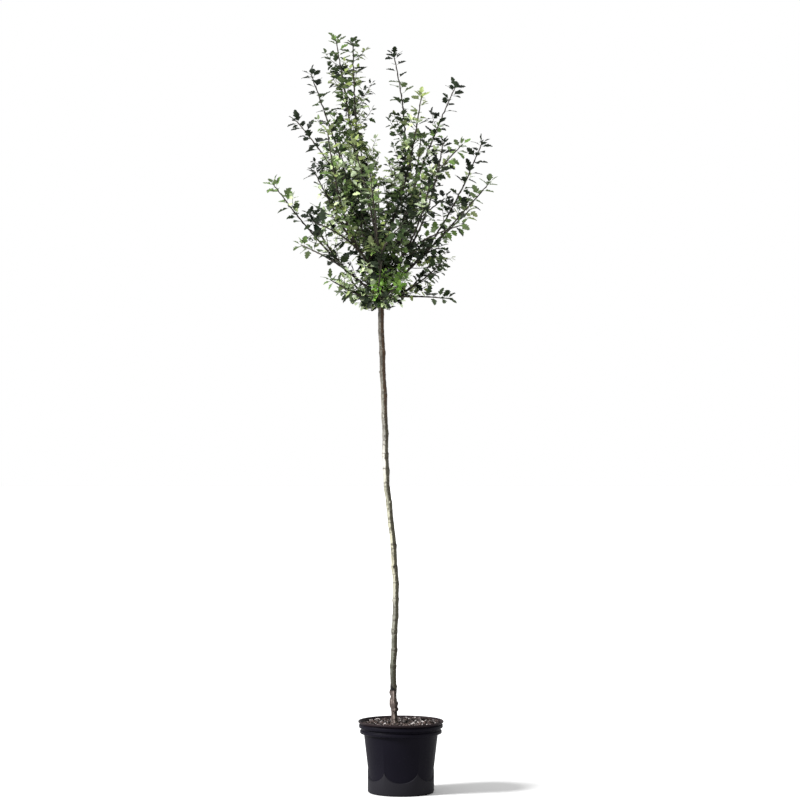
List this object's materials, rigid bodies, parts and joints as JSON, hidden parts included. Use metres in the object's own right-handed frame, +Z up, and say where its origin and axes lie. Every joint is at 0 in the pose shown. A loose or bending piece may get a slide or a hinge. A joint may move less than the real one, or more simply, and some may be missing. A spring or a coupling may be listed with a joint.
{
  "type": "potted standard tree",
  "caption": "Young hawthorn grown as a standard: one slender, slightly bowed stem, an open head of upright leafy whips, and a filled round nursery pot.",
  "frame": {"origin": "centre of the pot's flat underside", "axes": "+Z up, +X to the right of someone who faces the plant's front, +Y to its back; the stem leans towards -X"},
  "size_m": [0.7747, 0.6907, 2.5198],
  "materials": {
    "pot": "blow-moulded plastic, blue-black, with a dull sheen",
    "soil": "loose bark mulch over potting soil",
    "bark": "thin grey-brown bark with an olive tinge",
    "bough": "smooth young olive-brown bark",
    "foliage": "fresh leaves, dark green with a soft sheen"
  },
  "bodies": {
    "root": {"pot": "pot", "soil": "soil", "trunk": "bark", "bough_left": "bough", "bough_right": "bough", "bough_front": "bough", "bough_back": "bough", "bough_front_right": "bough", "bough_front_left": "bough", "bough_back_right": "bough", "bough_back_left": "bough", "bough_right_high": "bough", "bough_left_high": "bough", "bough_tall_left": "bough", "bough_leader": "bough", "foliage_left": "foliage", "foliage_right": "foliage", "foliage_front": "foliage", "foliage_back": "foliage", "foliage_front_right": "foliage", "foliage_front_left": "foliage", "foliage_back_right": "foliage", "foliage_back_left": "foliage", "foliage_right_high": "foliage", "foliage_left_high": "foliage", "foliage_tall_left": "foliage", "foliage_leader": "foliage", "foliage_low_left": "foliage", "foliage_low_right": "foliage", "foliage_low_front": "foliage", "foliage_low_back": "foliage"}
  },
  "joints": []
}
